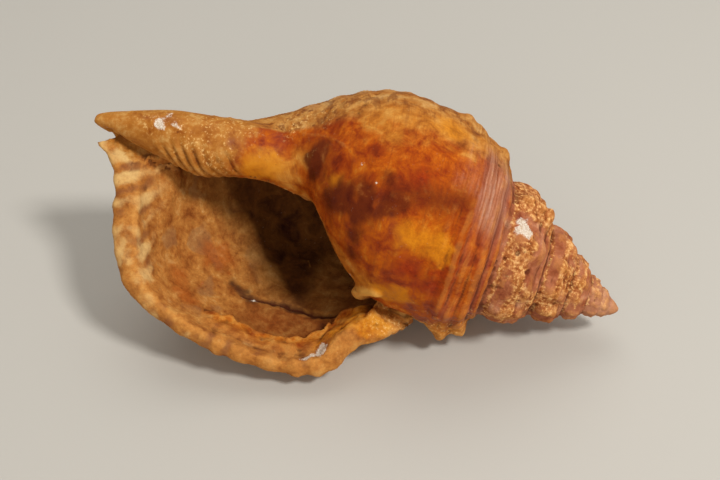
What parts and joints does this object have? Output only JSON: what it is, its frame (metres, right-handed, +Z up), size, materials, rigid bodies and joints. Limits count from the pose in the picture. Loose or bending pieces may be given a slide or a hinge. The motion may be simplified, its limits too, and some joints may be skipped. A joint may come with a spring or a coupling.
{
  "type": "triton shell",
  "caption": "Large triton sea shell lying on its side, with a pointed knobbed spire, a wide flared lip and a deep open hollow.",
  "frame": {"origin": "centre of the bounding box at the surface it lies on", "axes": "+X from the canal end to the spire's tip, +Z up as it lies still, the open mouth facing -Y and up"},
  "size_m": [0.2124, 0.1104, 0.0928],
  "materials": {
    "shell": "glossy amber and brown shell with a dull tan lip and a rough, worn spire"
  },
  "bodies": {
    "root": {"shell": "shell"}
  },
  "joints": []
}
